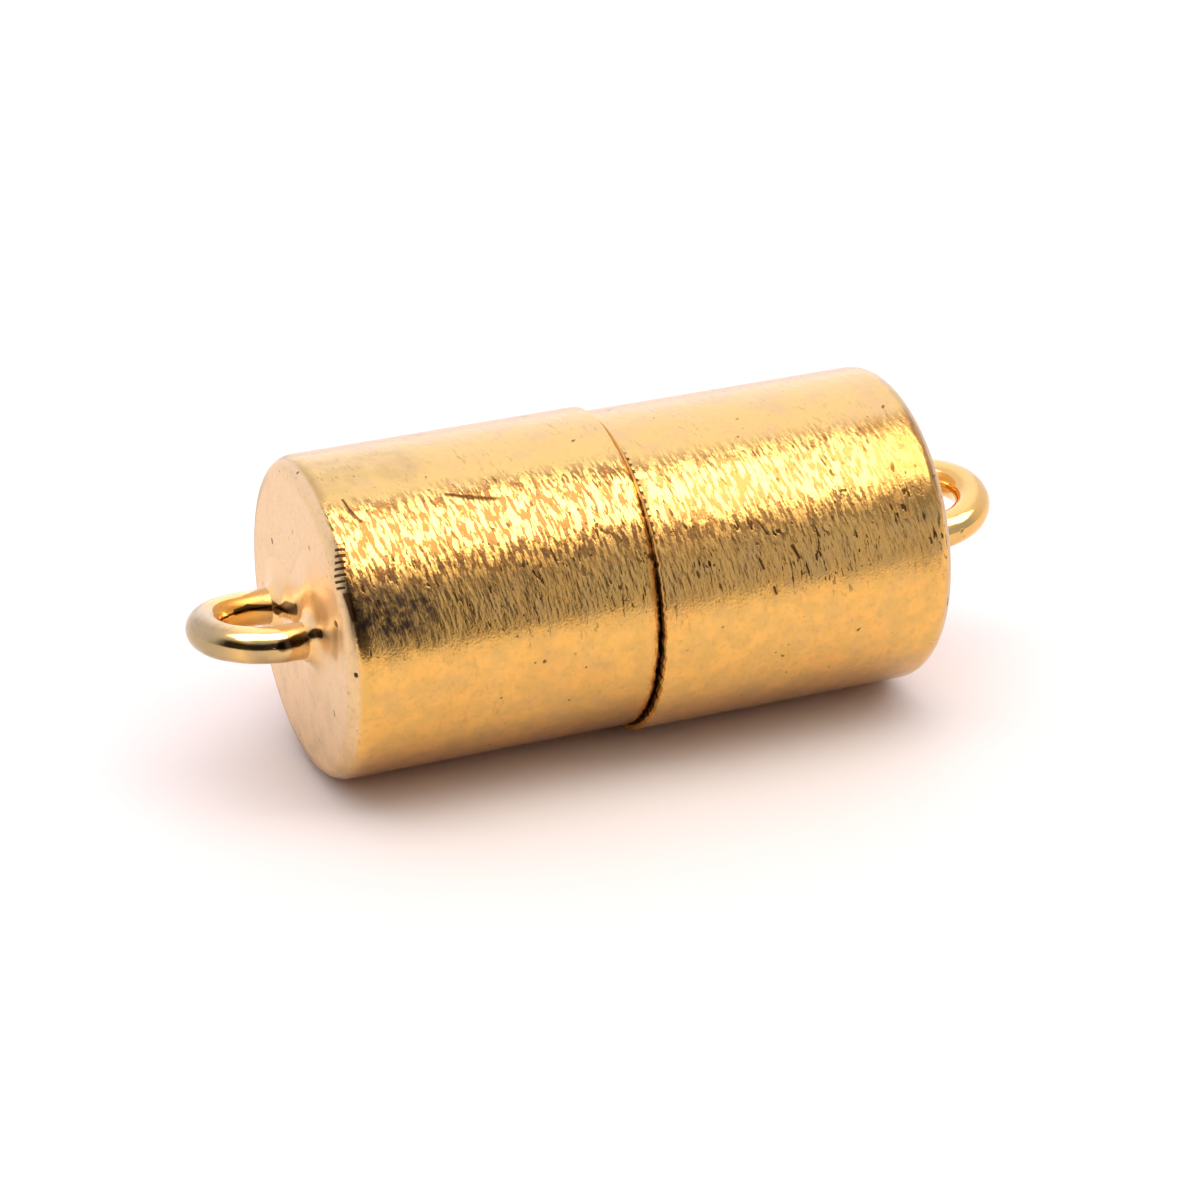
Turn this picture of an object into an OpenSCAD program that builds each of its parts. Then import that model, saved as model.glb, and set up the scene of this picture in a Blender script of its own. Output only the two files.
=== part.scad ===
// Magnetic clasp: two turned brass barrels that meet end to end. Each has a wire eye
// soldered to its closed end, and a disc magnet set in its open end.
// +X runs along the clasp, +Z is up, and both barrels lie on z = 0.

/* [Barrels] */
// Diameter of each barrel
barrel_d = 8; // [7.5:0.1:10]
// Length of each barrel, from its closed end to its rim
half_len = 7.77; // [6.5:0.01:12]
// Gap between the two rims when the clasp is closed
seam_gap = 0.06; // [0.04:0.01:0.3]
// Rounding of the edge of each closed end
edge_r = 0.5; // [0.2:0.05:0.9]
// Bevel on the outer edge of each rim
rim_bevel = 0.04; // [0.02:0.01:0.2]
// How far the right half sits off the left half's axis, towards -Y
side_step = 0.34; // [0:0.02:0.6]

/* [Magnets] */
// Diameter of each magnet
magnet_d = 6; // [4:0.1:6.5]
// Length of each magnet
magnet_len = 4; // [2:0.1:5]
// Clearance round each magnet and behind it
magnet_clear = 0.05; // [0.02:0.01:0.1]
// Gap between the two magnets when the clasp is closed
magnet_gap = 0.02; // [0.01:0.01:0.05]
// Bevel on the edges of each magnet
magnet_bevel = 0.15; // [0.05:0.05:0.4]

/* [Wire eyes] */
// Diameter of the wire
wire_d = 0.9; // [0.5:0.05:1.1]
// Radius of the bend, at the wire's centre
bend_r = 1.4; // [1:0.05:1.6]
// Straight length of each leg, from the closed end to the bend
leg_len = 0.95; // [0.5:0.05:2]
// How deep the legs are set in the closed end
leg_set = 0.6; // [0.3:0.05:1]
// Radius of the solder fillet round each leg
solder_r = 0.4; // [0.2:0.05:0.6]
// Place of the left eye on its closed end, in Y and Z from the barrel's axis
left_seat = [0.14, -0.08]; // [-1:0.02:1]
// Turn of the left eye about X, Y and Z
left_turn = [-7.8, 4.8, 8]; // [-15:0.2:15]
// Place of the right eye on its closed end, in Y and Z from the barrel's axis
right_seat = [0.18, 0.04]; // [-1:0.02:1]
// Turn of the right eye about X, Y and Z
right_turn = [4.2, -7.2, -0.6]; // [-15:0.2:15]

/* [Hidden] */
$fn = 96;
barrel_r = barrel_d / 2;
wire_r = wire_d / 2;
magnet_r = magnet_d / 2;
bore_r = magnet_r + magnet_clear;
// Each magnet stands this far out of its rim, so that the magnets meet and the rims don't
magnet_stand = (seam_gap - magnet_gap) / 2;
bore_depth = magnet_len + magnet_clear - magnet_stand;
// X of each closed end, and Y of each barrel's axis, either side of the middle
end_x = half_len + seam_gap / 2;
axis_y = side_step / 2;
// The fillet's foot and top lie this deep in the closed end and the leg, and meet them at an angle
solder_sink = 0.05;
// Overshoot of a cut past the face that it opens
cut_over = 1;
brass = [0.83, 0.66, 0.34];
nickel = [0.78, 0.77, 0.74];

// Half of the barrel's section, with its closed end on the X axis and its rim at half_len
module barrel_profile() {
    polygon([
        [0, 0],
        [barrel_r - edge_r, 0],
        [barrel_r, edge_r],
        [barrel_r, half_len - rim_bevel],
        [barrel_r - rim_bevel, half_len],
        [0, half_len]
    ]);
    translate([barrel_r - edge_r, edge_r]) circle(edge_r);
}

// Half of a magnet's section
module magnet_profile() {
    polygon([
        [0, 0],
        [magnet_r - magnet_bevel, 0],
        [magnet_r, magnet_bevel],
        [magnet_r, magnet_len - magnet_bevel],
        [magnet_r - magnet_bevel, magnet_len],
        [0, magnet_len]
    ]);
}

// Cup open towards +X, with its closed end at x = 0
module cup() {
    rotate([0, 90, 0]) difference() {
        rotate_extrude() barrel_profile();
        translate([0, 0, half_len - bore_depth]) cylinder(r = bore_r, h = bore_depth + cut_over);
    }
}

// Hollow ring of solder round a leg that stands on z = 0
module solder_fillet() {
    foot_r = wire_r + solder_r - solder_sink;
    translate([0, 0, -solder_sink]) difference() {
        cylinder(r = foot_r, h = solder_r);
        translate([0, 0, solder_r]) rotate_extrude() translate([foot_r, 0]) circle(solder_r);
    }
}

// Wire eye in the XY plane: two legs that leave x = 0 towards -X, and a half-round bend
module wire_eye() {
    for (side = [-1, 1])
        translate([-leg_len, side * bend_r, 0]) rotate([0, 90, 0]) cylinder(r = wire_r, h = leg_len + leg_set);
    translate([-leg_len, 0, 0]) rotate([0, 0, 90])
        rotate_extrude(angle = 180) translate([bend_r, 0]) circle(wire_r);
}

// A cup with its wire eye soldered on, closed end at x = 0 and open towards +X
module eyed_barrel(seat, turn) {
    cup();
    translate([0, seat.x, seat.y]) {
        rotate(turn) wire_eye();
        rotate([turn.x, 0, 0]) for (side = [-1, 1])
            translate([0, side * bend_r, 0]) rotate([0, -90, 0]) solder_fillet();
    }
}

// Disc magnet in its bore, in the same place as eyed_barrel has its cup
module seated_magnet() {
    translate([half_len - bore_depth + magnet_clear, 0, 0]) rotate([0, 90, 0]) rotate_extrude() magnet_profile();
}

// Puts a left half in its place
module on_left() {
    translate([-end_x, axis_y, barrel_r]) children();
}

// Turns a half end for end and puts it in the right half's place
module on_right() {
    translate([end_x, -axis_y, barrel_r]) mirror([1, 0, 0]) children();
}

module left_barrel() {
    color(brass) on_left() eyed_barrel(left_seat, left_turn);
}

module left_magnet() {
    color(nickel) on_left() seated_magnet();
}

module right_barrel() {
    color(brass) on_right() eyed_barrel(right_seat, [right_turn.x, -right_turn.y, -right_turn.z]);
}

module right_magnet() {
    color(nickel) on_right() seated_magnet();
}

left_barrel();
left_magnet();
right_barrel();
right_magnet();
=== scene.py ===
"""Looks of the magnetic clasp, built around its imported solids.

Two turned barrels in brushed gold plating, each with a soldered wire eye and a disc magnet.
Lengths are in metres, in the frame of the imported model: +X runs along the clasp, +Z is up,
and both barrels lie on z = 0.
"""

import math

import bmesh
import bpy
from bpy.props import FloatProperty, FloatVectorProperty, IntProperty, PointerProperty
from mathutils import Euler, Matrix, Vector, noise


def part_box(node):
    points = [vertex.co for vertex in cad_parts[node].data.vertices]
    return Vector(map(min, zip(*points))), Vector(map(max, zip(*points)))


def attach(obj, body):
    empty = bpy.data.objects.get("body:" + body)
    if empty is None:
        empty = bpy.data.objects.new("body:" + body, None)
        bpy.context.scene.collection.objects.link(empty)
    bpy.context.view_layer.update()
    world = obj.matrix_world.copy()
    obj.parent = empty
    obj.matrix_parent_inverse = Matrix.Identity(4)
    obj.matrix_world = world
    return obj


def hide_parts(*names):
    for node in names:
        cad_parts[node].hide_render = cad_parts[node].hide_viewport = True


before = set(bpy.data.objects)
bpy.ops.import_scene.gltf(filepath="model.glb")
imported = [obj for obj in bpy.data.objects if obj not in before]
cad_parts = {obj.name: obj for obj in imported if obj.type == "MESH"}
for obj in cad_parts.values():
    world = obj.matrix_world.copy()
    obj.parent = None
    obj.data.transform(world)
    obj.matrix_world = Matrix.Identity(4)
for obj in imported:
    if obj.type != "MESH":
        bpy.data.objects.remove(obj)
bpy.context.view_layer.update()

bl_info = {
    "name": "Magnetic Clasp",
    "version": (1, 0, 0),
    "blender": (4, 5, 0),
    "location": "View3D > Sidebar > Clasp",
    "description": "Builds a brushed gold magnetic clasp around its packed solids",
    "category": "Object",
}

MM = 0.001
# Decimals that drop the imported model's rounding of its curves, 0.01 mm
PLACES = 5
LEFT_LOW, LEFT_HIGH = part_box("left_barrel")
MAGNET_LOW, MAGNET_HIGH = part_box("left_magnet")


# Settings


def metres(name, default, description):
    """A setting in metres."""
    return FloatProperty(name=name, description=description, default=default, unit="LENGTH")


def colour_setting(name, default, description):
    """A setting that holds a linear reflectance."""
    return FloatVectorProperty(name=name, description=description, default=default, subtype="COLOR")


def angle(name, degrees, description):
    """A setting that holds an angle."""
    default = math.radians(degrees)
    return FloatProperty(name=name, description=description, default=default, subtype="ANGLE")


def eye_seat(side, y, z):
    """A setting that holds an eye's place on its closed end."""
    return FloatVectorProperty(
        name=f"{side} seat",
        description=f"Y and Z of the {side.lower()} eye's middle from the barrel's axis",
        default=(y, z),
        size=2,
        unit="LENGTH",
    )


def eye_turn(side, *degrees):
    """A setting that holds an eye's turn as it was soldered on."""
    return FloatVectorProperty(
        name=f"{side} turn",
        description=f"Turn of the {side.lower()} eye about X, Y and Z",
        default=[math.radians(part) for part in degrees],
        subtype="EULER",
    )


class ClaspBarrelSettings(bpy.types.PropertyGroup):
    """Sizes of the two turned barrels."""

    radius: metres(
        "Radius",
        round((LEFT_HIGH.z - LEFT_LOW.z) / 2, PLACES),
        "Outer radius of each barrel",
    )
    length: metres("Length", 7.77 * MM, "Length of each barrel, from its closed end to its rim")
    edge_radius: metres("Edge radius", 0.5 * MM, "Rounding of the edge of each closed end")
    rim_bevel: metres("Rim bevel", 0.009 * MM, "Bevel on the outer and inner edge of each rim")
    bore_clearance: metres(
        "Bore clearance", 0.05 * MM, "Clearance round each magnet and behind it"
    )
    rim_wear: metres("Rim wear", 0.05 * MM, "Height of the burrs and depth of the nicks")
    rim_lean: metres(
        "Rim lean", 0.032 * MM, "How much further each rim stands out at its top than at its middle"
    )
    steps: IntProperty(name="Steps", description="Number of facets round each barrel", default=512)


class ClaspEyeSettings(bpy.types.PropertyGroup):
    """Sizes of the wire eyes, and the way that each one happens to be soldered on."""

    wire_radius: metres("Wire radius", 0.45 * MM, "Half the diameter of the wire")
    bend_radius: metres("Bend radius", 1.4 * MM, "Radius of the bend, at the wire's middle line")
    leg_length: metres(
        "Leg length", 0.95 * MM, "Straight length of each leg, from the closed end to the bend"
    )
    leg_depth: metres("Leg depth", 0.6 * MM, "How deep the legs are set in the closed end")
    left_seat: eye_seat("Left", 0.14 * MM, -0.08 * MM)
    left_turn: eye_turn("Left", -7.8, 4.8, 8)
    right_seat: eye_seat("Right", 0.18 * MM, 0.04 * MM)
    right_turn: eye_turn("Right", 4.2, -7.2, -0.6)


class ClaspSolderSettings(bpy.types.PropertyGroup):
    """Sizes of the solder round the wire eyes' legs."""

    fillet: metres("Fillet", 0.16 * MM, "Height of the solder's fillet up each leg")
    fillet_reach: metres("Fillet reach", 0.34 * MM, "How far the fillet runs out from each leg")
    thickness: metres("Thickness", 0.22 * MM, "Thickness of the pool of solder between the legs")
    ripple: metres("Ripple", 0.07 * MM, "Height of the uneven waves in the pool")


class ClaspFinishSettings(bpy.types.PropertyGroup):
    """Colours of the plating."""

    gold: colour_setting("Gold", (0.885, 0.49, 0.11), "Brushed gold plating on the barrels' sides")
    satin: colour_setting(
        "Satin gold", (0.79, 0.55, 0.27), "Paler satin plating on the closed ends"
    )
    polish: colour_setting(
        "Polished gold", (0.92, 0.58, 0.19), "Polished plating on the wire eyes and the solder"
    )
    # Also painted as shade on the outer lower side of the eyes
    rubbed_and_shaded: colour_setting(
        "Rubbed gold", (0.38, 0.30, 0.16), "Duller plating where the eyes' tips are rubbed"
    )
    # This dark colour also paints the shade in the seam and the dark reflections on the rounded
    # edge, the closed ends, the solder and the wire eyes
    grime_and_painted_shade: colour_setting("Grime", (0.055, 0.022, 0.007), "Dark residue in pits and scratches")
    nickel: colour_setting("Nickel", (0.72, 0.70, 0.66), "Nickel plating on the magnets")


class ClaspStageSettings(bpy.types.PropertyGroup):
    """Camera, floor and light."""

    yaw: angle("Yaw", 22.1, "Angle of the view to the right of +Y")
    pitch: angle("Pitch", 27.2, "Angle of the view below the horizon")
    distance: metres(
        "Distance", 96.84 * MM, "Distance from the camera to the middle of the clasp"
    )
    lens: FloatProperty(
        name="Lens",
        description="Focal length on a sensor 36 mm wide, in millimetres",
        default=116.82,
    )
    floor_radius: metres("Floor radius", 1.4, "Radius of the pale floor")
    sheet_front: metres(
        "Sheet front",
        36 * MM,
        "How far in front of the clasp the floor stops showing in the metal",
    )
    lamp_radiance: FloatProperty(
        name="Lamp radiance",
        description="Brightness of the soft lamp overhead, where white paper in the open is 1",
        default=2.2,
    )
    glint_radiance: FloatProperty(
        name="Glint radiance",
        description="Brightness of the lamp as the metal reflects it",
        default=4.7,
    )


# Meshes


def from_mm(place):
    """A place in metres from one in millimetres."""
    return [part * MM for part in place]


class Half:
    """Where one half of the clasp lies. In its own frame its closed end is at x = 0,
    its rim towards +X, and its axis along X."""

    def __init__(self, side, barrel):
        low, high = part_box(f"{side}_barrel")
        self.side = side
        self.body = f"{side}_half"
        self.axis = Vector((0, round((low.y + high.y) / 2, PLACES), barrel.radius))
        self.outward = -1 if side == "left" else 1
        rim_x = high.x if side == "left" else low.x
        self.end_x = rim_x + self.outward * barrel.length
        mirror = Matrix.Scale(-self.outward, 4, (1, 0, 0))
        self.matrix = Matrix.Translation((self.end_x, self.axis.y, self.axis.z)) @ mirror

    def place(self, bm):
        """Moves a mesh from the half's own frame to the clasp's, with its faces outwards."""
        bmesh.ops.transform(bm, matrix=self.matrix, verts=bm.verts)
        bmesh.ops.recalc_face_normals(bm, faces=bm.faces)


def lathe(outline, steps):
    """Closed mesh spun about the X axis from an outline of (x, radius) points."""
    bm = bmesh.new()
    verts = [bm.verts.new((x, 0, radius)) for x, radius in outline]
    edges = [bm.edges.new(pair) for pair in zip(verts, verts[1:])]
    bmesh.ops.spin(
        bm,
        geom=verts + edges,
        cent=(0, 0, 0),
        axis=(1, 0, 0),
        angle=math.tau,
        steps=steps,
        use_merge=True,
    )
    bmesh.ops.remove_doubles(bm, verts=bm.verts, dist=0.0005 * MM)
    bmesh.ops.recalc_face_normals(bm, faces=bm.faces)
    return bm


def radius_at(vert):
    """Distance of a vertex from the X axis."""
    return math.hypot(vert.co.y, vert.co.z)


def bevel_ring(bm, x, radius, width, segments):
    """Rounds the circular edge of a lathed mesh that lies at x with that radius."""
    near = 0.001 * MM
    ring = [
        edge
        for edge in bm.edges
        if all(abs(v.co.x - x) < near and abs(radius_at(v) - radius) < near for v in edge.verts)
    ]
    bmesh.ops.bevel(
        bm,
        geom=ring,
        offset=width,
        offset_type="OFFSET",
        segments=segments,
        profile=0.5,
        affect="EDGES",
        clamp_overlap=False,
        material=-1,
    )


def lumps(point, size, seed):
    """Smooth seeded noise from -1 to 1, with lumps about as large as size."""
    return noise.noise(Vector(point) / size + Vector((seed, seed * 0.7, -seed)))


def dent(bm, depth, size, seed):
    """Moves each vertex a little along its normal, as hand finishing leaves a surface."""
    bm.normal_update()
    for vert in bm.verts:
        vert.co += vert.normal * depth * lumps(vert.co, size, seed)


def mesh_object(name, bm, material):
    """Makes the mesh an object in the scene."""
    mesh = bpy.data.meshes.new(name)
    bm.to_mesh(mesh)
    bm.free()
    mesh.materials.append(material)
    made = bpy.data.objects.new(name, mesh)
    bpy.context.scene.collection.objects.link(made)
    return made


def finished(name, bm, body, material, nodes=()):
    """Makes the mesh a smooth piece that rides on a body and stands for CAD nodes."""
    piece = mesh_object(name, bm, material)
    mesh = piece.data
    mesh.polygons.foreach_set("use_smooth", [True] * len(mesh.polygons))
    mesh.set_sharp_from_angle(angle=math.radians(50))
    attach(piece, body)
    if nodes:
        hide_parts(*nodes)


# Shader maths


class Value:
    """A number socket of a node tree, so that shader maths reads as Python expressions."""

    def __init__(self, tree, socket):
        self.tree = tree
        self.socket = socket

    def __add__(self, other):
        return self.tree.maths("ADD", self, other)

    def __sub__(self, other):
        return self.tree.maths("SUBTRACT", self, other)

    def __rsub__(self, other):
        return self.tree.maths("SUBTRACT", other, self)

    def __mul__(self, other):
        return self.tree.maths("MULTIPLY", self, other)

    def __abs__(self):
        return self.tree.maths("ABSOLUTE", self)

    __radd__ = __add__
    __rmul__ = __mul__


class NodeTree:
    """The nodes of one material, or of the world."""

    def __init__(self, owner):
        owner.use_nodes = True
        self.nodes = owner.node_tree.nodes
        self.links = owner.node_tree.links
        self.nodes.clear()

    def node(self, kind, settings=None, sockets=None, output=0):
        """Adds a node, sets it up, feeds its sockets, and returns one of its outputs, if any."""
        made = self.nodes.new(kind)
        for key, value in (settings or {}).items():
            setattr(made, key, value)
        for key, value in (sockets or {}).items():
            if isinstance(value, Value):
                self.links.new(value.socket, made.inputs[key])
            else:
                made.inputs[key].default_value = value
        return Value(self, made.outputs[output]) if made.outputs else None

    def maths(self, operation, *values):
        """One step of arithmetic on sockets and numbers."""
        return self.node("ShaderNodeMath", {"operation": operation}, dict(enumerate(values)))

    def vector_maths(self, operation, *values, output=0):
        """One step of arithmetic on vectors."""
        sockets = dict(enumerate(values))
        return self.node("ShaderNodeVectorMath", {"operation": operation}, sockets, output)

    def clamp(self, value):
        """The value, kept between 0 and 1."""
        return self.node("ShaderNodeClamp", None, {0: value})

    def smooth(self, value, low, high):
        """0 below low, 1 above high, and a smooth step between."""
        settings = {"interpolation_type": "SMOOTHSTEP"}
        return self.node("ShaderNodeMapRange", settings, {0: value, 1: low, 2: high})

    def band(self, value, rise, fall):
        """1 between two smooth steps, each a (low, high) pair, and 0 outside them."""
        return self.smooth(value, *rise) * (1 - self.smooth(value, *fall))

    def mix(self, factor, first, second):
        """Mix of two colours, each a socket or an RGB triple."""
        first, second = (c if isinstance(c, Value) else (*c, 1) for c in (first, second))
        sockets = {0: factor, 6: first, 7: second}
        return self.node("ShaderNodeMix", {"data_type": "RGBA"}, sockets, 2)

    def degrees_from_front(self, across, forward):
        """Angle in degrees, 0 towards forward and 90 towards across."""
        return self.maths("ARCTAN2", across, forward) * math.degrees(1)

    def vector(self, x, y, z):
        return self.node("ShaderNodeCombineXYZ", None, {0: x, 1: y, 2: z})

    def split(self, vector):
        parts = self.node("ShaderNodeSeparateXYZ", None, {0: vector}).socket.node.outputs
        return [Value(self, part) for part in parts]

    def end_in(self, shader, output, sockets):
        """Ends the tree in a shader with those inputs."""
        self.node(output, None, {"Surface": self.node(shader, None, sockets)})


class Surface(NodeTree):
    """A metal finish on one half, which ends in one shader."""

    def __init__(self, name, half):
        self.material = bpy.data.materials.new(f"{name}_{half.side}")
        super().__init__(self.material)
        coordinates = self.node("ShaderNodeTexCoord", None, None, "Object")
        from_axis = {"Vector": coordinates, "Location": -half.axis}
        self.point = self.node("ShaderNodeMapping", None, from_axis)
        self.parts = self.split(self.point)

    def grain(self, vector, scale, detail, roughness=0.5):
        """Noise round 0.5, with lumps about 1 / scale wide."""
        sockets = {"Vector": vector, "Scale": scale, "Detail": detail, "Roughness": roughness}
        return self.node("ShaderNodeTexNoise", None, sockets)

    def mottle(self, size, detail=1.0):
        """Noise round 0.5, with lumps about as large as size in mm."""
        return self.grain(self.point, 1 / (size * MM), detail)

    def patches(self, size, low, high, detail=2.0):
        """Patches about as large as size in mm: 0 where their noise is below low, 1 above high."""
        return self.smooth(self.mottle(size, detail), low, high)

    def line_mask(self, point, ends, width, sharpness):
        """1 on the line between two places and 0 beyond its width."""
        start, end = (Vector(place) for place in ends)
        line = end - start
        offset = self.vector_maths("SUBTRACT", point, start)
        along = self.vector_maths("DOT_PRODUCT", offset, line / line.length_squared, output="Value")
        sockets = {0: line, "Scale": self.clamp(along)}
        foot = self.node("ShaderNodeVectorMath", {"operation": "SCALE"}, sockets)
        distance = self.vector_maths("DISTANCE", offset, foot, output="Value")
        return 1 - self.smooth(distance, sharpness * width, width)

    def marks(self, point, lines, placed, sharpness):
        """Marks along lines, each end of which the function placed turns into a place."""
        marks = 0.0
        for start, end, width in lines:
            ends = placed(start), placed(end)
            marks = self.line_mask(point, ends, width * MM, sharpness) + marks
        return self.clamp(marks)

    def end_marks(self, lines, sharpness):
        """Marks on a closed end and its solder, whatever their height."""
        flat = self.vector(0, *self.parts[1:])
        return self.marks(flat, lines, lambda place: (0, *from_mm(place)), sharpness)

    def metal(self, colour, roughness, height, bump_depth, coat=0.0, coat_roughness=0.3):
        """Ends the material in a metal with that colour, roughness and relief."""
        bump = {"Strength": 1.0, "Distance": bump_depth, "Height": height}
        sockets = {
            "Base Color": colour,
            "Metallic": 1.0,
            "Roughness": roughness,
            "Normal": self.node("ShaderNodeBump", None, bump),
            "Coat Weight": coat,
            "Coat Roughness": coat_roughness,
            "Coat IOR": 1.5,
        }
        self.end_in("ShaderNodeBsdfPrincipled", "ShaderNodeOutputMaterial", sockets)
        return self.material


# Marks

# Direction of the brushing on the side that faces the viewer, 40 degrees up from -Y
BRUSH_TURN = math.radians(40)
BRUSH_SLANT = 0.15
# Radians of the file marks' wave for each degree round the edge, a mark every 2.3 degrees
FILE_PITCH = math.tau / 2.3
# Radians of the painted notches' wave for each degree round the seam, a notch every 3 degrees
NOTCH_PITCH = math.tau / 3.0

# Single scratches on a barrel's side: X in mm and angle up from -Y of both ends, and width in mm
SCRATCHES = {
    "left": [
        ((-4.58, 63.7), (-4.06, 60.9), 0.10),
        ((-4.06, 60.9), (-3.48, 58.6), 0.12),
        ((-7.06, 69.0), (-6.99, 64.0), 0.06),
        ((-6.99, 64.0), (-6.84, 59.0), 0.065),
        ((-7.59, 101.6), (-7.57, 100.6), 0.09),
    ],
    "right": [
        ((3.45, 25.5), (3.60, 21.0), 0.075),
        ((2.70, 36.0), (2.88, 31.0), 0.06),
        ((2.56, 23.0), (2.64, 19.5), 0.06),
        ((2.86, 12.5), (2.91, 10.0), 0.06),
    ],
}
# Dark brown patches, and paler brown ones, on a barrel's side, given in the same way
DARK_PATCHES = {
    "left": [((-7.30, 28.0), (-6.20, 24.0), 0.95), ((-6.60, 24.6), (-5.80, 26.0), 0.20)],
    "right": [],
}
BROWN_PATCHES = {
    "left": [((-7.40, 84.0), (-5.60, 84.0), 1.30)],
    "right": [((6.95, 50.0), (7.20, 30.0), 0.60)],
}
# Dark residue on each closed end, and dark reflections painted on the solder between the legs: Y
# and Z of both ends from the axis, and width, in mm
RESIDUE_AND_DARK_REFLECTIONS = {
    "left": [
        ((-1.75, 0.53), (-1.95, 0.60), 0.14),
        ((-2.90, 1.32), (-2.98, 1.32), 0.09),
        ((0.95, -0.15), (0.70, 0.06), 0.13),
        ((0.70, 0.06), (-0.12, 0.37), 0.17),
        ((-3.83, 0.40), (-3.84, 0.35), 0.045),
        ((1.99, 1.26), (1.97, 1.20), 0.06),
    ],
    "right": [((1.60, 0.75), (1.85, 0.60), 0.12)],
}
# Warm reflections of the gold wire, painted on the solder, given in the same way
WARM_REFLECTIONS = {
    "left": [((-1.50, 1.12), (-2.10, 1.12), 0.52), ((-2.90, 1.20), (-2.88, 0.47), 0.24)],
    "right": [((-0.70, 0.85), (0.30, 0.70), 0.40)],
}
# Dark reflections painted on each wire eye, in mm: both ends from the middle of the clasp's axis,
# and width
WIRE_DARK_REFLECTIONS = {
    "left": [
        ((-8.78, -1.77, 0.36), (-8.40, -1.74, 0.41), 0.19),
        ((-8.40, -1.74, 0.41), (-8.15, -1.67, 0.46), 0.19),
        ((-9.12, 0.93, 0.03), (-8.76, 1.01, 0.05), 0.11),
        ((-8.76, 1.01, 0.05), (-8.16, 1.05, -0.10), 0.12),
    ],
    "right": [],
}


# Finishes

# Shades of the plating's tone and wear, and of the shade and reflections painted on it, as linear
# reflectances
SHADES = {
    "warm gold": (0.86, 0.42, 0.09),
    "cap mottle": (0.58, 0.40, 0.18),
    "cap foot shade": (0.56, 0.34, 0.10),
    "low side shade": (0.58, 0.38, 0.10),
    "speck": (0.42, 0.28, 0.12),
    "top shade": (0.57, 0.41, 0.13),
    "tarnish": (0.60, 0.38, 0.15),
    "brown_patch": (0.50, 0.34, 0.12),
    "stroke": (0.16, 0.062, 0.010),
    "amber": (0.40, 0.20, 0.04),
    "edge": (0.34, 0.23, 0.10),
    "dark_patch": (0.12, 0.058, 0.028),
    "bare rim": (0.93, 0.66, 0.30),
    "gouge": (0.10, 0.042, 0.010),
    "pale root": (0.92, 0.72, 0.40),
    "shaded wire": (0.62, 0.36, 0.09),
    "wire patch": (0.33, 0.23, 0.12),
    "flowed solder": (0.66, 0.36, 0.10),
    "solder hollow": (0.50, 0.29, 0.08),
    "worn nickel": (0.52, 0.50, 0.47),
    "chipped nickel": (0.2, 0.19, 0.18),
    "floor": (0.85, 0.785, 0.735),
}


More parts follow.
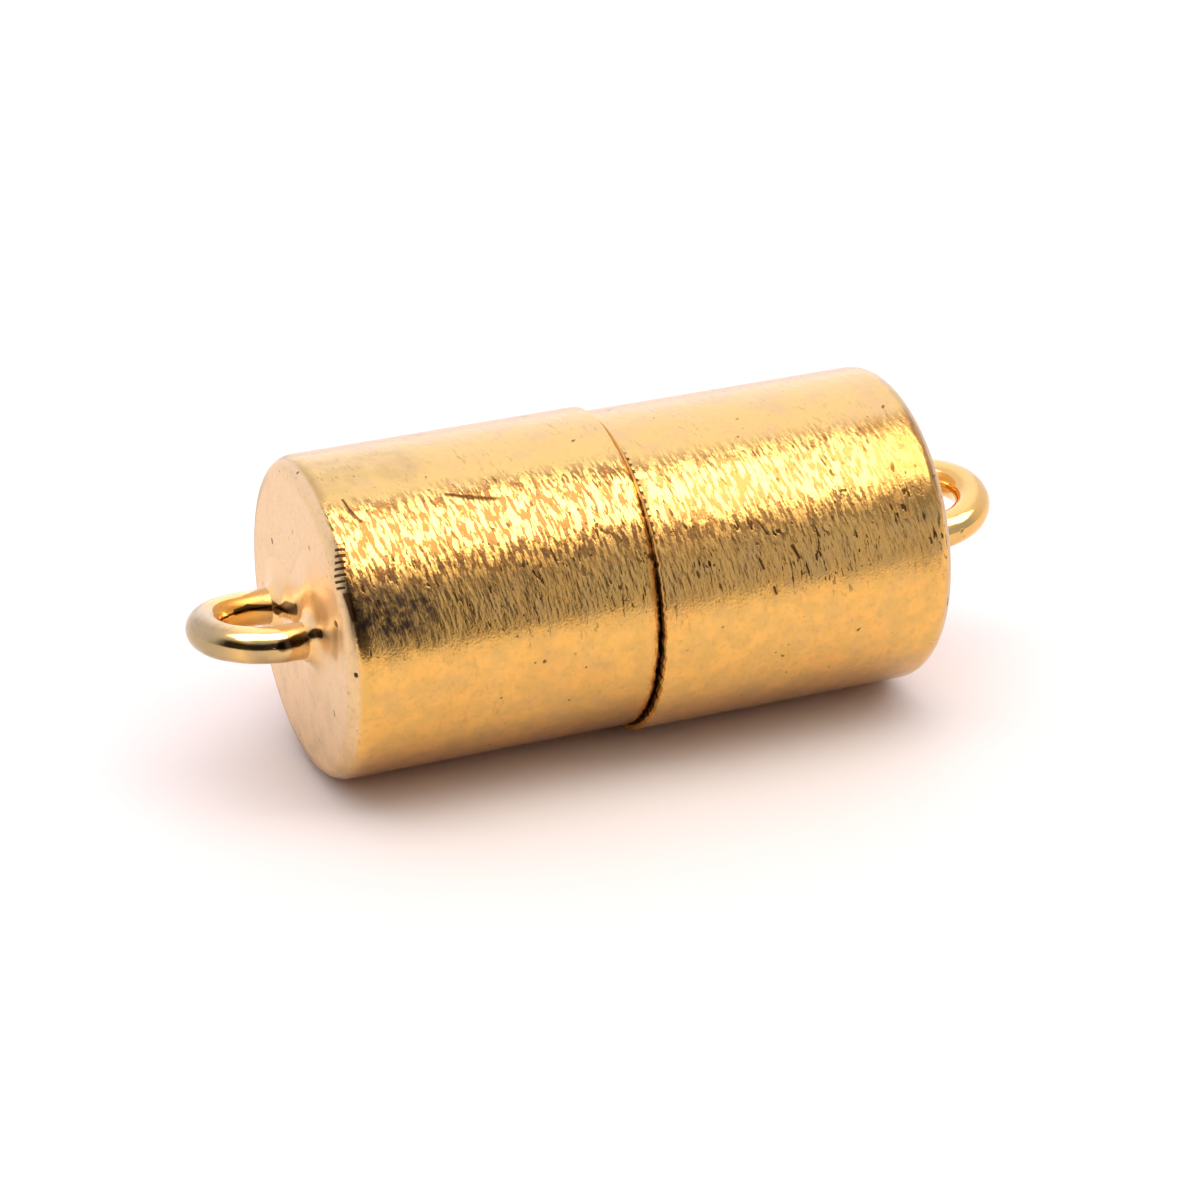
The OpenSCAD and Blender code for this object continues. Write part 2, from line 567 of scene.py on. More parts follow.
class BarrelSurface(Surface):
    """Brushed plating on the side, satin plating on the closed end, turned metal in the bore."""

    def __init__(self, half, barrel, finish):
        super().__init__("brushed_gold", half)
        self.side = half.side
        self.barrel = barrel
        self.finish = finish
        self.seed = 3.0 if half.side == "left" else 11.0
        x, y, z = self.parts
        self.end_distance = abs(half.end_x) - abs(x)
        self.radius = self.vector_maths("LENGTH", self.vector(0, y, z), output="Value")
        self.rise = z * (1 / barrel.radius)
        self.is_cap = 1 - self.from_end(0.16, 0.30)
        self.is_outside = self.out_to(0.90, 0.97)
        self.is_side = self.is_outside * self.from_end(0.17, 0.27)
        self.is_top = self.smooth(self.rise, 0.84, 0.95)
        facing = abs(self.split(self.node("ShaderNodeTexCoord", None, None, "Normal"))[0])
        near_rim = self.smooth(self.end_distance, 0.9 * barrel.length, 0.95 * barrel.length)
        self.is_rim = self.smooth(facing, 0.85, 0.97) * near_rim
        # The upper part of the side, at the height where it reflects the lamp, where the brushing's
        # dark strokes are painted to break up that reflection
        self.highlight_band = self.is_side * self.band(self.rise, (0.40, 0.62), (0.88, 0.95))
        low = self.smooth(self.rise, 0.02, 0.25)
        self.worked = self.is_side * (0.1 + 0.9 * low - 0.8 * self.smooth(self.rise, 0.86, 0.95))

    def from_end(self, low, high):
        """0 nearer to the closed end than low and 1 beyond high, in mm."""
        return self.smooth(self.end_distance, low * MM, high * MM)

    def out_to(self, low, high):
        """0 nearer to the axis than low and 1 beyond high, in barrel radii."""
        return self.smooth(self.radius, low * self.barrel.radius, high * self.barrel.radius)

    def on_side(self, place):
        """A place on the side from X in mm and an angle up from -Y in degrees."""
        radius, up = self.barrel.radius, math.radians(place[1])
        return place[0] * MM, -radius * math.cos(up), radius * math.sin(up)

    def side_marks(self, lines, sharpness):
        """Marks on the side."""
        return self.marks(self.point, lines, self.on_side, sharpness)

    def brush_strokes(self, slant, width, length, seed, detail=1.5):
        """Noise drawn out along the brushing: strokes of that size in mm, round 0.5."""
        x, y, z = self.parts
        up_y, up_z = math.sin(BRUSH_TURN), math.cos(BRUSH_TURN)
        across = x + (y * up_y + z * up_z) * slant
        per_width, per_length = 1 / (width * MM), 1 / (length * MM)
        seed = self.seed + seed
        drawn_out = self.vector(across * per_width, y * per_length, z * per_length + seed)
        return self.grain(drawn_out, 1.0, detail, roughness=0.55)

    def file_marks(self):
        """A row of short dark file marks across the rounded edge, and a dark reflection painted as
        a line below them.
        """
        end_distance = self.end_distance
        degrees = self.degrees_from_front(self.parts[2], 0.0 - self.parts[1])
        row = self.band(degrees, (35.5, 36.5), (51.5, 52.5))
        across = end_distance - (degrees - 44.0) * (0.015 * MM)
        across = self.band(across, (0.06 * MM, 0.09 * MM), (0.29 * MM, 0.33 * MM))
        across = across * self.from_end(0.02, 0.05)
        teeth = self.maths("SINE", (degrees + end_distance * (4.2 / MM)) * FILE_PITCH)
        # Painted dark reflection: a line along the edge below the file marks
        below = self.band(degrees, (23.5, 25.0), (34.5, 35.5))
        along = end_distance + (degrees - 30.0) * (0.0072 * MM)
        along = self.band(along, (0.13 * MM, 0.16 * MM), (0.26 * MM, 0.30 * MM))
        return row * across * self.smooth(teeth, -0.1, 0.35) + below * along

    def painted_seam_shade(self):
        """Painted shade that shows in the seam, and painted dark notches where the seam is all but
        closed.
        """
        y, z = self.parts[1:]
        ring = self.out_to(0.86, 0.89) * (1 - self.out_to(0.962, 0.975))
        residue_and_painted_shade = self.is_rim * ring * (1 - self.smooth(self.rise, 0.30, 0.55))
        residue_and_painted_shade = residue_and_painted_shade * self.smooth(0.0 - y, -0.5 * MM, 1.5 * MM)
        degrees = self.degrees_from_front(z, 0.0 - y)
        wobble = self.mottle(0.4) * 6.0
        teeth = self.maths("SINE", degrees * NOTCH_PITCH + wobble)
        teeth = self.smooth(teeth, -0.1, 0.4) * 0.06 * MM
        inset = self.barrel.length - self.end_distance
        notch_shade = self.smooth(teeth - inset, 0.0, 0.02 * MM) * self.is_side * (1 - self.is_rim)
        closing = self.band(self.rise, (0.45, 0.62), (0.93, 0.97))
        return residue_and_painted_shade + notch_shade * (closing * self.smooth(0.0 - y, 0.0, 0.5 * MM))

    def gouges(self):
        """Short dark gouges, in groups on the worked part of the side."""
        ticks = self.brush_strokes(BRUSH_SLANT * 1.3, 0.11, 0.28, 40)
        cuts = self.brush_strokes(BRUSH_SLANT * 0.7, 0.13, 0.50, 60)
        gouges = self.smooth(ticks, 0.62, 0.67) + self.smooth(cuts, 0.64, 0.69)
        groups = self.patches(0.9, 0.42, 0.60)
        return self.clamp(gouges * self.worked * (0.2 + 0.8 * groups))

    def pits_and_scratches(self):
        """Small pits everywhere, and the single marks of this half, among them painted dark
        reflections on the rounded edge and the closed end.
        """
        pits = self.patches(0.22, 0.74, 0.80, detail=1.0)
        scratches = self.side_marks(SCRATCHES[self.side], 0.1)
        marks = pits * 0.8 + scratches
        if self.side == "left":
            marks = marks + self.file_marks()
        # Dark spots on the closed end: residue, and dark reflections painted on the solder between
        # the legs
        residue_and_painted_shade = self.end_marks(RESIDUE_AND_DARK_REFLECTIONS[self.side], 0.65)
        return self.clamp(marks + residue_and_painted_shade * self.is_cap)

    def relief(self, gouges, marks, speckle):
        """Height of the surface, in units of the bump's depth."""
        fine = self.brush_strokes(BRUSH_SLANT, 0.10, 0.38, 0)
        steep = self.brush_strokes(BRUSH_SLANT * 1.8, 0.17, 0.50, 20)
        waves = self.mottle(0.9)
        stroked = self.is_side * (0.4 + 0.6 * self.smooth(self.rise, 0.10, 0.35))
        height = (fine * 0.75 + steep * 0.75) * stroked - gouges * 0.35
        return height + waves * 2.0 + speckle * 0.3 - marks * 0.25

    def plating(self, blotches):
        """Colour of the gold, with its patches and tarnish, and painted shade on the top and the
        low part of the side and on the foot of the closed end.
        """
        rise, is_cap, is_side = self.rise, self.is_cap, self.is_side
        tone = self.patches(2.4, 0.35, 0.65)
        warm = self.mix(tone * 0.4, self.finish.gold, SHADES["warm gold"])
        colour = self.mix(is_cap, warm, self.finish.satin)
        beige = self.patches(0.6, 0.42, 0.68, detail=3.0)
        colour = self.mix(beige * is_cap * (0.28 - 0.22 * rise), colour, SHADES["cap mottle"])
        # Painted shade: the closed end darker towards its foot, by the floor
        foot = is_cap * self.is_outside * (1 - self.smooth(rise, -0.8, -0.3))
        colour = self.mix(foot * 0.7, colour, SHADES["cap foot shade"])
        # Painted shade: the side darker low down, in blotches
        low_side = is_side * (1 - self.smooth(rise, 0.12, 0.28))
        colour = self.mix(low_side * (0.12 + 0.42 * blotches), colour, SHADES["low side shade"])
        specks = self.patches(0.13, 0.5, 0.75)
        colour = self.mix(specks * 0.3, colour, SHADES["speck"])
        # Tarnish in patches outside the band that reflects the lamp, heavier on top, where it adds
        # to the painted shade there
        tarnish = self.patches(0.8, 0.45, 0.70, detail=3.0)
        tarnish = tarnish * is_side * (1 - self.highlight_band) * (0.3 + 0.4 * self.is_top)
        # Painted shade: the top of the side duller and darker
        colour = self.mix(self.is_top * is_side * 0.7, colour, SHADES["top shade"])
        return self.mix(tarnish, colour, SHADES["tarnish"])

    def darkened(self, colour, brown_patch):
        """The plating's colour under brown patches, dark brush strokes, painted shade on the
        rounded edges and on the lamp's reflection at the right end, and dark patches.
        """
        colour = self.mix(brown_patch * 0.7, colour, SHADES["brown_patch"])
        # Dark brush strokes in the band that reflects the lamp: partly the brushing's own marks,
        # partly painted shade that breaks up the lamp's reflection
        strokes = self.brush_strokes(BRUSH_SLANT, 0.09, 0.34, 80, detail=3.0)
        strokes = self.smooth(strokes, 0.445, 0.54) * self.highlight_band
        depth = 0.92 if self.side == "left" else 0.8
        colour = self.mix(strokes * depth, colour, SHADES["stroke"])
        # Painted shade on the rounded edges that face away: the left closed end's far edge, and the
        # right end's edge
        if self.side == "left":
            y, z = self.parts[1:]
            away = self.smooth(y - z * 0.55, 0.0, 0.5 * self.barrel.radius)
            shade = self.is_cap * away * self.out_to(0.865, 0.89)
        else:
            shade = self.is_outside * (1 - self.from_end(0.05, 0.38))
            # Painted shade on the lamp's reflection: it turns dimmer and more amber towards the
            # right end
            amber = self.highlight_band * (1 - self.from_end(0.5, 3.2))
            colour = self.mix(amber * 0.75, colour, SHADES["amber"])
        colour = self.mix(shade * 0.6, colour, SHADES["edge"])
        cloud = 0.3 + 0.7 * self.patches(0.2, 0.35, 0.65)
        dark_patch = self.side_marks(DARK_PATCHES[self.side], 0.3)
        colour = self.mix(dark_patch * self.is_side * cloud * 0.93, colour, SHADES["dark_patch"])
        return self.mix(self.is_rim * self.smooth(self.rise, 0.0, 0.4), colour, SHADES["bare rim"])

    def build(self):
        """Ends the material, and returns it."""
        speckle = self.mottle(0.07)
        gouges = self.gouges()
        marks = self.pits_and_scratches()
        height = self.relief(gouges, marks, speckle)
        blotches = self.patches(0.45, 0.35, 0.65, detail=3.0)
        brown_patch = self.side_marks(BROWN_PATCHES[self.side], 0.3)
        brown_patch = brown_patch * self.is_side * (0.3 + 0.7 * blotches)
        colour = self.darkened(self.plating(blotches), brown_patch)
        colour = self.mix(gouges * 0.95, colour, SHADES["gouge"])
        # The right half has painted shade in its seam
        if self.side == "right":
            marks = marks + self.painted_seam_shade()
        marks = self.clamp(marks)
        # The marks take the dark colour: pits, scratches and residue, with the painted shade and
        # dark reflections among them
        colour = self.mix(marks * 0.95, colour, self.finish.grime_and_painted_shade)
        is_edge = self.band(self.end_distance, (0.12 * MM, 0.18 * MM), (0.24 * MM, 0.34 * MM))
        is_ring = self.is_rim * self.out_to(0.962, 0.975)
        roughness = 0.18 + self.is_cap * 0.18 - is_edge * 0.09 + speckle * 0.08 + marks * 0.15
        roughness = roughness + is_ring * 0.45
        coat = 0.45 * (1 - marks) * (1 - gouges * 0.9) * (1 - 0.4 * self.worked) * (1 - 0.6 * brown_patch)
        return self.metal(colour, roughness, height, 0.012 * MM, coat, coat_roughness=0.42)


def polished_gold(half, seat_y, finish):
    """Polished plating on a wire eye, worn at its tip, with a few pits; painted shade on its outer
    lower side and on the whole right eye, painted light near its root, and painted dark
    reflections.
    """
    surface = Surface("polished_gold", half)
    is_left = half.side == "left"
    x, y = surface.parts[:2]
    reach = abs(x) - abs(half.end_x)
    width = abs(y - seat_y)
    # Painted shade on the outer lower side of the wire, in the dull colour of the worn tip
    outer = surface.smooth(width, 1.55 * MM, 1.84 * MM) * surface.smooth(reach, 0.2 * MM, 1.6 * MM)
    tip = surface.smooth(reach, 1.6 * MM, 2.5 * MM)
    rubbed_and_shaded = surface.maths("MAXIMUM", tip, outer * 0.85) * (0.9 if is_left else 0.2)
    swells = surface.mottle(0.5)
    fine = surface.mottle(0.08)
    pits = surface.patches(0.25, 0.74, 0.80, detail=1.0)
    # Painted light: the wire paler near its root, most on the left eye, where it reflects the
    # closed end
    root = 1 - surface.smooth(reach, 0.3 * MM, 1.3 * MM)
    colour = surface.mix(root * (0.8 if is_left else 0.1), finish.polish, SHADES["pale root"])
    colour = surface.mix(rubbed_and_shaded, colour, finish.rubbed_and_shaded)
    # Painted shade: the right eye darker all over
    if not is_left:
        colour = surface.mix(0.4, colour, SHADES["shaded wire"])
    collar = 1 - surface.smooth(reach, 0.30 * MM, 0.85 * MM)
    colour = surface.mix(collar * 0.8, colour, finish.satin)
    patches = surface.patches(0.35, 0.52, 0.68)
    colour = surface.mix(patches * rubbed_and_shaded * 0.5, colour, SHADES["wire patch"])
    # Painted dark reflections along the left eye's arms
    residue_and_painted_shade = surface.marks(surface.point, WIRE_DARK_REFLECTIONS[half.side], from_mm, 0.5)
    colour = surface.mix(pits * 0.5 + residue_and_painted_shade * 0.95, colour, finish.grime_and_painted_shade)
    roughness = 0.07 + surface.smooth(swells, 0.4, 0.7) * 0.05 + fine * 0.03 + rubbed_and_shaded * 0.09
    roughness = roughness + collar * 0.22
    height = swells * 1.2 + fine * 0.1 - pits * 0.6
    return surface.metal(colour, roughness, height, 0.012 * MM, coat=0.04, coat_roughness=0.1)


def flowed_solder(half, finish):
    """Smooth plated solder with darker patches, as satin as the closed end where it runs out, with
    painted warm reflections and dark spots, some of them painted dark reflections.
    """
    surface = Surface("flowed_solder", half)
    reach = abs(surface.parts[0]) - abs(half.end_x)
    bright = surface.smooth(reach, 0.06 * MM, 0.28 * MM)
    # Dark spots: residue, and dark reflections painted on the solder between the legs
    residue_and_painted_shade = surface.end_marks(RESIDUE_AND_DARK_REFLECTIONS[half.side], 0.65)
    warm_reflections = surface.end_marks(WARM_REFLECTIONS[half.side], 0.2)
    patches = surface.patches(0.7, 0.5, 0.7)
    fine = surface.mottle(0.12)
    flowed = surface.mix(patches * 0.5, finish.polish, SHADES["flowed solder"])
    colour = surface.mix(bright * 0.8, finish.satin, flowed)
    # Painted reflection: orange-brown where the solder would reflect the gold wire
    colour = surface.mix(warm_reflections * 0.8, colour, SHADES["solder hollow"])
    colour = surface.mix(residue_and_painted_shade * 0.95, colour, finish.grime_and_painted_shade)
    roughness = 0.36 - bright * 0.20 + patches * 0.06 + fine * 0.05
    coat = 0.4 * (1 - residue_and_painted_shade)
    return surface.metal(colour, roughness, fine, 0.006 * MM, coat, coat_roughness=0.35)


def nickel_plate(half, finish):
    """Satin nickel on a magnet, with faint cloudy wear."""
    surface = Surface("nickel_plate", half)
    clouds = surface.mottle(1.1, detail=3.0)
    fine = surface.mottle(0.06, detail=2.0)
    chips = surface.patches(0.35, 0.68, 0.74)
    worn = surface.smooth(clouds, 0.35, 0.7) * 0.3
    colour = surface.mix(worn, finish.nickel, SHADES["worn nickel"])
    colour = surface.mix(chips * 0.4, colour, SHADES["chipped nickel"])
    roughness = 0.24 + surface.smooth(clouds, 0.4, 0.7) * 0.12
    return surface.metal(colour, roughness, fine * 0.5 - chips, 0.006 * MM)


def pale_floor():
    """The matt floor."""
    material = bpy.data.materials.new("pale_floor")
    sockets = {"Base Color": (*SHADES["floor"], 1), "Roughness": 0.8, "Specular IOR Level": 0.2}
    NodeTree(material).end_in("ShaderNodeBsdfPrincipled", "ShaderNodeOutputMaterial", sockets)
    return material


# Operators


class CLASP_OT_stage(bpy.types.Operator):
    """Adds the camera, the pale floor, the soft lamp and the room that the metal reflects"""

    bl_idname = "clasp.stage"
    bl_label = "Stage"

    def execute(self, context):
        stage = context.scene.clasp_stage
        self.add_camera(context, stage)
        self.add_floor(stage)
        self.add_lamp(context, stage)
        self.add_room(context)
        context.scene.view_settings.view_transform = "Standard"
        return {"FINISHED"}

    def add_camera(self, context, stage):
        """Stands the camera where the photograph was taken."""
        camera = bpy.data.cameras.new("photo_view")
        camera.lens = stage.lens
        camera.sensor_width = 36.0
        camera.clip_start = 5 * MM
        camera.clip_end = 10.0
        ahead = Vector(
            (
                math.sin(stage.yaw) * math.cos(stage.pitch),
                math.cos(stage.yaw) * math.cos(stage.pitch),
                -math.sin(stage.pitch),
            )
        )
        right = Vector((math.cos(stage.yaw), -math.sin(stage.yaw), 0))
        up = right.cross(ahead)
        # The middle of the picture lies a little to the right of this spot, and below it
        spot = Vector((0, 0.17 * MM, 4.0 * MM))
        to_right, below = 0.052 * MM, 0.853 * MM
        view = bpy.data.objects.new("photo_view", camera)
        view.location = spot - ahead * stage.distance + right * to_right - up * below
        view.rotation_euler = Matrix((right, up, -ahead)).transposed().to_euler()
        context.scene.collection.objects.link(view)
        context.scene.camera = view

    def add_floor(self, stage):
        """Lays the floor at z = 0, as a sheet under the clasp and the rest of it in front.
        The metal reflects the dark room and not the floor beyond the sheet's front edge."""
        paper = pale_floor()
        for name, keep_front in (("paper_sheet", False), ("floor_in_front", True)):
            bm = bmesh.new()
            bmesh.ops.create_circle(bm, cap_ends=True, segments=96, radius=stage.floor_radius)
            bmesh.ops.bisect_plane(
                bm,
                geom=bm.verts[:] + bm.edges[:] + bm.faces[:],
                plane_co=(0, -stage.sheet_front, 0),
                plane_no=(0, 1, 0),
                clear_inner=not keep_front,
                clear_outer=keep_front,
            )
            floor = mesh_object(name, bm, paper)
            floor.visible_glossy = not keep_front

    def add_lamp(self, context, stage):
        """Hangs a large soft lamp overhead, as one light for the floor and one for the metal."""
        width = 0.80
        # Name, radiance, depth, place and turn in degrees of each
        lamps = (
            ("soft_lamp", stage.lamp_radiance, 0.26, (0.08, -0.08, 0.42), -20),
            ("metal_glint", stage.glint_radiance, 0.313, (0.08, -0.113, 0.415), -12),
        )
        for name, radiance, depth, place, degrees in lamps:
            light = bpy.data.lights.new(name, "AREA")
            light.shape = "RECTANGLE"
            light.size = width
            light.size_y = depth
            light.energy = radiance * math.pi * width * depth
            light.color = (1.0, 0.985, 0.985 if name == "soft_lamp" else 1.12)
            lamp = bpy.data.objects.new(name, light)
            lamp.location = place
            lamp.rotation_euler = (0, 0, math.radians(degrees))
            lamp.visible_glossy = name == "metal_glint"
            lamp.visible_diffuse = name == "soft_lamp"
            context.scene.collection.objects.link(lamp)

    def add_room(self, context):
        """Pale walls behind and to the sides, and a dark part of the room in front."""
        world = bpy.data.worlds.new("room")
        context.scene.world = world
        room = NodeTree(world)
        x, y, z = room.split(room.node("ShaderNodeTexCoord", None, None, "Generated"))
        bearing = room.degrees_from_front(x, 0.0 - y)
        dark_sides = room.band(bearing, (-105.0, -75.0), (55.0, 85.0))
        dark = dark_sides * (1 - room.smooth(z, 0.47, 0.76))
        depth = 0.97 - 0.66 * room.smooth(x, 0.255, 0.32)
        behind = room.smooth(y, -0.3, 0.5)
        level = 0.9 + behind * (0.2 + room.band(x, (-0.3, 0.2), (0.45, 0.75)) * 0.42)
        colour = room.mix(behind, (1.0, 0.94, 0.905), (1.0, 0.98, 1.18))
        colour = room.mix(dark * room.smooth(x, 0.31, 0.36), colour, (0.95, 1.02, 1.35))
        sockets = {"Color": colour, "Strength": level * (1 - dark * depth)}
        room.end_in("ShaderNodeBackground", "ShaderNodeOutputWorld", sockets)


class CLASP_OT_barrels(bpy.types.Operator):
    """Turns the two barrels, each a cup with a rounded closed end and a bored open end"""

    bl_idname = "clasp.barrels"
    bl_label = "Turned barrels"

    def execute(self, context):
        barrel = context.scene.clasp_barrel
        for index, side in enumerate(("left", "right")):
            half = Half(side, barrel)
            bm = self.turned(barrel)
            self.nick_rim(bm, barrel, 5.0 + index)
            half.place(bm)
            material = BarrelSurface(half, barrel, context.scene.clasp_finish).build()
            name = f"{side}_barrel_turned"
            finished(name, bm, half.body, material, [f"{side}_barrel"])
        return {"FINISHED"}

    @staticmethod
    def turned(barrel):
        """The cup in the half's own frame."""
        # Each edge has a ring of faces this wide beyond its bevel
        guard = 0.03 * MM
        magnet_radius = (MAGNET_HIGH.z - MAGNET_LOW.z) / 2
        bore_radius = round(magnet_radius, PLACES) + barrel.bore_clearance
        bore_floor = MAGNET_LOW.x - LEFT_HIGH.x + barrel.length - barrel.bore_clearance
        edge = barrel.edge_radius + guard
        rim = barrel.rim_bevel + guard
        radius, length = barrel.radius, barrel.length
        outline = [
            (0, 0),
            (0, 0.4 * radius),
            (0, radius - edge),
            (0, radius),
            (edge, radius),
            (0.5 * length, radius),
            (length - rim, radius),
            (length, radius),
            (length, radius - rim),
            (length, bore_radius + rim),
            (length, bore_radius),
            (length - rim, bore_radius),
            (bore_floor + guard, bore_radius),
            (bore_floor, bore_radius),
            (bore_floor, bore_radius - guard),
            (bore_floor, 0),
        ]
        bm = lathe(outline, barrel.steps)
        bevel_ring(bm, 0, radius, barrel.edge_radius, 12)
        bevel_ring(bm, length, radius, barrel.rim_bevel, 3)
        bevel_ring(bm, length, bore_radius, barrel.rim_bevel, 2)
        return bm

    @staticmethod
    def nick_rim(bm, barrel, seed):
        """Leaves burrs and nicks on the rim, which stands out at its top and so closes the seam."""
        # How far a rim stands out at its middle, and at most, so that the two rims don't touch
        middle, most = 0.006 * MM, 0.028 * MM
        burr_size = 0.11 * MM
        lowest = -0.2
        for vert in bm.verts:
            inside = barrel.length - vert.co.x
            if inside > 1.5 * barrel.rim_bevel or radius_at(vert) < 0.9 * barrel.radius:
                continue
            up = vert.co.z / barrel.radius
            burr = lumps(vert.co, burr_size, seed) * barrel.rim_wear * (1 - max(0.0, up) ** 4)
            vert.co.x += min(most, middle + max(up, lowest) * barrel.rim_lean + burr)


class CLASP_OT_eyes(bpy.types.Operator):
    """Bends the two wire eyes, whose legs are set in the closed ends"""

    bl_idname = "clasp.eyes"
    bl_label = "Wire eyes"

    def execute(self, context):
        eye = context.scene.clasp_eye
        for side in ("left", "right"):
            half = Half(side, context.scene.clasp_barrel)
            bm = self.bent(eye)
            dent(bm, depth=0.012 * MM, size=0.7 * MM, seed=2.0 + half.outward)
            bmesh.ops.transform(bm, matrix=eye_matrix(half, eye), verts=bm.verts)
            half.place(bm)
            seat_y = getattr(eye, f"{side}_seat")[0]
            material = polished_gold(half, seat_y, context.scene.clasp_finish)
            finished(f"{side}_eye_wire", bm, half.body, material)
        return {"FINISHED"}

    @staticmethod
    def bent(eye):
        """The wire in the XY plane: a leg, the half-round bend, and the other leg."""
        leg_steps = 14
        bend_steps = 40
        bm = bmesh.new()
        leg = eye.leg_length + eye.leg_depth
        foot = Matrix.Translation((eye.leg_depth, -eye.bend_radius, 0))
        facing = foot @ Matrix.Rotation(math.pi / 2, 4, "Y")
        ring = bmesh.ops.create_circle(
            bm, cap_ends=False, segments=36, radius=eye.wire_radius, matrix=facing
        )
        last = list({edge for vert in ring["verts"] for edge in vert.link_edges})
        last = push(bm, last, Vector((-leg / leg_steps, 0, 0)), leg_steps)
        turn = bmesh.ops.spin(
            bm,
            geom=last + list({vert for edge in last for vert in edge.verts}),
            cent=(-eye.leg_length, 0, 0),
            axis=(0, 0, -1),
            angle=math.pi,
            steps=bend_steps,
            use_merge=False,
        )
        last = [part for part in turn["geom_last"] if isinstance(part, bmesh.types.BMEdge)]
        push(bm, last, Vector((leg / leg_steps, 0, 0)), leg_steps)
        bmesh.ops.remove_doubles(bm, verts=bm.verts, dist=0.0005 * MM)
        bmesh.ops.holes_fill(bm, edges=[edge for edge in bm.edges if edge.is_boundary], sides=0)
        bmesh.ops.recalc_face_normals(bm, faces=bm.faces)
        return bm


def push(bm, edges, step, count):
    """Extrudes a ring of edges by a step, count times, and returns the last ring."""
    for _ in range(count):
        made = bmesh.ops.extrude_edge_only(bm, edges=edges)["geom"]
        verts = [part for part in made if isinstance(part, bmesh.types.BMVert)]
        edges = [part for part in made if isinstance(part, bmesh.types.BMEdge)]
        bmesh.ops.translate(bm, verts=verts, vec=step)
    return edges


def eye_matrix(half, eye):
    """Place and turn of the eye in the half's own frame, where the right half is mirrored."""
    x, y, z = getattr(eye, f"{half.side}_turn")
    turn = Euler((x, -half.outward * y, -half.outward * z))
    seat = getattr(eye, f"{half.side}_seat")
    return Matrix.Translation((0, *seat)) @ turn.to_matrix().to_4x4()


def from_line(spot, start, end):
    """Distance of a spot from the line between two others."""
    line = end - start
    along = max(0.0, min(1.0, (spot - start).dot(line) / line.length_squared))
    return (spot - start - line * along).length


class CLASP_OT_solder(bpy.types.Operator):
    """Flows the solder round the eyes' legs, as an uneven pool that runs out on the closed end"""

    bl_idname = "clasp.solder"
    bl_label = "Solder"

    # How far the pool dips into the closed end where its patch ends
    sink = 0.008 * MM
    # Runs of solder on each closed end, in mm: Y and Z of both ends, reach, and height
    runs = {
        "left": [
            ((-1.9, 0.9), (-2.4, 1.1), 0.60, 0.04),
            ((0.1, 0.3), (-0.9, 1.5), 0.50, 0.08),
            ((-2.4, 0.8), (-2.75, 0.3), 0.30, 0.06),
            ((-1.1, -0.45), (-0.8, -0.95), 0.38, 0.09),
        ],
        "right": [
            ((1.9, 0.5), (2.3, 0.9), 0.45, 0.10),
            ((-0.9, -0.3), (0.4, -0.6), 0.35, 0.08),
        ],
    }

    def execute(self, context):
        scene = context.scene
        for index, side in enumerate(("left", "right")):
            half = Half(side, scene.clasp_barrel)
            roots = self.leg_roots(eye_matrix(half, scene.clasp_eye), scene.clasp_eye)
            bm = self.pool(side, roots, scene.clasp_eye, scene.clasp_solder, 30.0 + index)
            half.place(bm)
            material = flowed_solder(half, scene.clasp_finish)
            finished(f"{side}_solder", bm, half.body, material)
        return {"FINISHED"}

    @staticmethod
    def leg_roots(matrix, eye):
        """Where the legs' middle lines cross the closed end, in Y and Z."""
        roots = []
        for side in (-1, 1):
            start = matrix @ Vector((0, side * eye.bend_radius, 0))
            along = matrix.to_3x3() @ Vector((-1, 0, 0))
            hit = start - along * (start.x / along.x)
            roots.append(Vector((hit.y, hit.z)))
        return roots

    def pool(self, side, roots, eye, solder, seed):
        """A fine patch raised by the solder's height, closed by a flat bottom in the metal."""
        cell = 0.04 * MM
        margin = 1.2 * MM
        depth = 0.12 * MM
        runs = [
            (Vector(from_mm(start)), Vector(from_mm(end)), reach * MM, height * MM)
            for start, end, reach, height in self.runs[side]
        ]
        spots = roots + [end for _, end, _, _ in runs]
        low = Vector((min(s.x for s in spots) - margin, min(s.y for s in spots) - margin))
        high = Vector((max(s.x for s in spots) + margin, max(s.y for s in spots) + margin))
        columns = round((high.x - low.x) / cell)
        rows = round((high.y - low.y) / cell)
        bm = bmesh.new()
        bmesh.ops.create_grid(bm, x_segments=columns, y_segments=rows, size=0.5)
        for vert in bm.verts:
            across = low.x + (vert.co.x + 0.5) * (high.x - low.x)
            up = low.y + (vert.co.y + 0.5) * (high.y - low.y)
            height = self.height(Vector((across, up)), runs, roots, eye, solder, seed)
            vert.co = (-height, across, up)
        sunk = [face for face in bm.faces if all(vert.co.x > self.sink / 3 for vert in face.verts)]
        bmesh.ops.delete(bm, geom=sunk, context="FACES")
        border = [edge for edge in bm.edges if edge.is_boundary]
        push(bm, border, Vector((depth, 0, 0)), 1)
        bmesh.ops.holes_fill(bm, edges=[edge for edge in bm.edges if edge.is_boundary], sides=0)
        return bm

    def height(self, spot, runs, roots, eye, solder, seed):
        """How far the solder stands out from the closed end there. Below 0 it lies in the metal."""
        root_reach, bridge_reach = 0.80 * MM, 0.5 * MM
        near_roots = sum(math.exp(-((spot - root).length / root_reach) ** 2) for root in roots)
        between = math.exp(-(from_line(spot, *roots) / bridge_reach) ** 2)
        cover = min(1.0, near_roots + 0.6 * between)
        flat = (spot.x, spot.y, 0)
        wave = lumps(flat, 0.7 * MM, seed) + 0.15 * lumps(flat, 0.35 * MM, seed)
        level = (solder.thickness + solder.ripple * wave) * cover**1.5
        for start, end, reach, height in runs:
            along = math.exp(-(from_line(spot, start, end) / reach) ** 2)
            level += height * along * (1 + 0.4 * wave)
        level -= self.sink
        for root in roots:
            away = max(0.0, (spot - root).length - eye.wire_radius)
            level += solder.fillet * max(0.0, 1 - away / solder.fillet_reach) ** 2
        return level


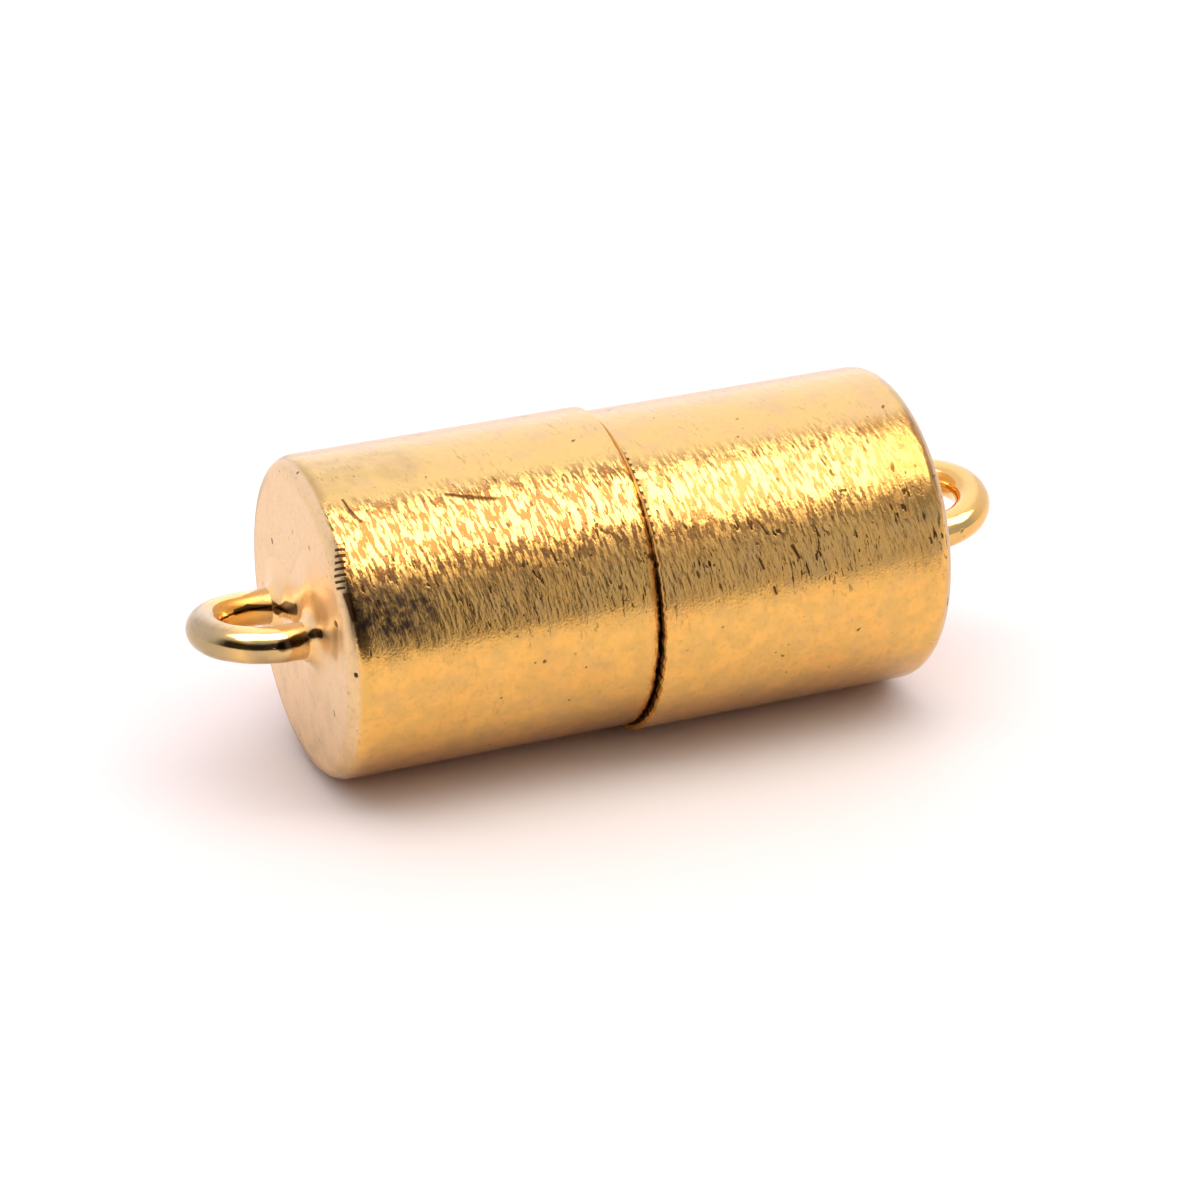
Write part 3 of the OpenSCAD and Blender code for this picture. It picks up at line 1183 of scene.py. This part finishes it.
class CLASP_OT_magnets(bpy.types.Operator):
    """Makes the two disc magnets, which show when the clasp is pulled apart"""

    bl_idname = "clasp.magnets"
    bl_label = "Disc magnets"

    def execute(self, context):
        bodies = {"left": "left_half", "right": "right_magnet"}
        edge_radius = 0.15 * MM
        guard = 0.02 * MM
        steps = 192
        for side, body in bodies.items():
            low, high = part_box(f"{side}_magnet")
            half = Half(side, context.scene.clasp_barrel)
            radius = round((high.z - low.z) / 2, PLACES)
            length = high.x - low.x
            inner = edge_radius + guard
            outline = [(0, 0), (0, radius - inner), (0, radius), (inner, radius)]
            outline += [(length - x, r) for x, r in reversed(outline)]
            bm = lathe(outline, steps)
            bevel_ring(bm, 0, radius, edge_radius, 5)
            bevel_ring(bm, length, radius, edge_radius, 5)
            bmesh.ops.translate(bm, verts=bm.verts, vec=(low.x, half.axis.y, half.axis.z))
            material = nickel_plate(half, context.scene.clasp_finish)
            name = f"{side}_magnet_disc"
            finished(name, bm, body, material, [f"{side}_magnet"])
        return {"FINISHED"}


class CLASP_PT_panel(bpy.types.Panel):
    """Lists the clasp's parts"""

    bl_idname = "CLASP_PT_panel"
    bl_label = "Magnetic Clasp"
    bl_space_type = "VIEW_3D"
    bl_region_type = "UI"
    bl_category = "Clasp"

    def draw(self, context):
        for operator in OPERATORS:
            self.layout.operator(operator.bl_idname)


SETTINGS = {
    "clasp_barrel": ClaspBarrelSettings,
    "clasp_eye": ClaspEyeSettings,
    "clasp_solder": ClaspSolderSettings,
    "clasp_finish": ClaspFinishSettings,
    "clasp_stage": ClaspStageSettings,
}
OPERATORS = (
    CLASP_OT_stage,
    CLASP_OT_barrels,
    CLASP_OT_eyes,
    CLASP_OT_solder,
    CLASP_OT_magnets,
)


def register():
    for name, group in SETTINGS.items():
        bpy.utils.register_class(group)
        setattr(bpy.types.Scene, name, PointerProperty(type=group))
    for kind in (*OPERATORS, CLASP_PT_panel):
        bpy.utils.register_class(kind)


def unregister():
    for kind in (CLASP_PT_panel, *reversed(OPERATORS)):
        bpy.utils.unregister_class(kind)
    for name, group in reversed(SETTINGS.items()):
        delattr(bpy.types.Scene, name)
        bpy.utils.unregister_class(group)


def main():
    register()
    bpy.ops.clasp.stage()
    bpy.ops.clasp.barrels()
    bpy.ops.clasp.eyes()
    bpy.ops.clasp.solder()
    bpy.ops.clasp.magnets()
    bpy.context.view_layer.update()


if __name__ == "__main__":
    main()
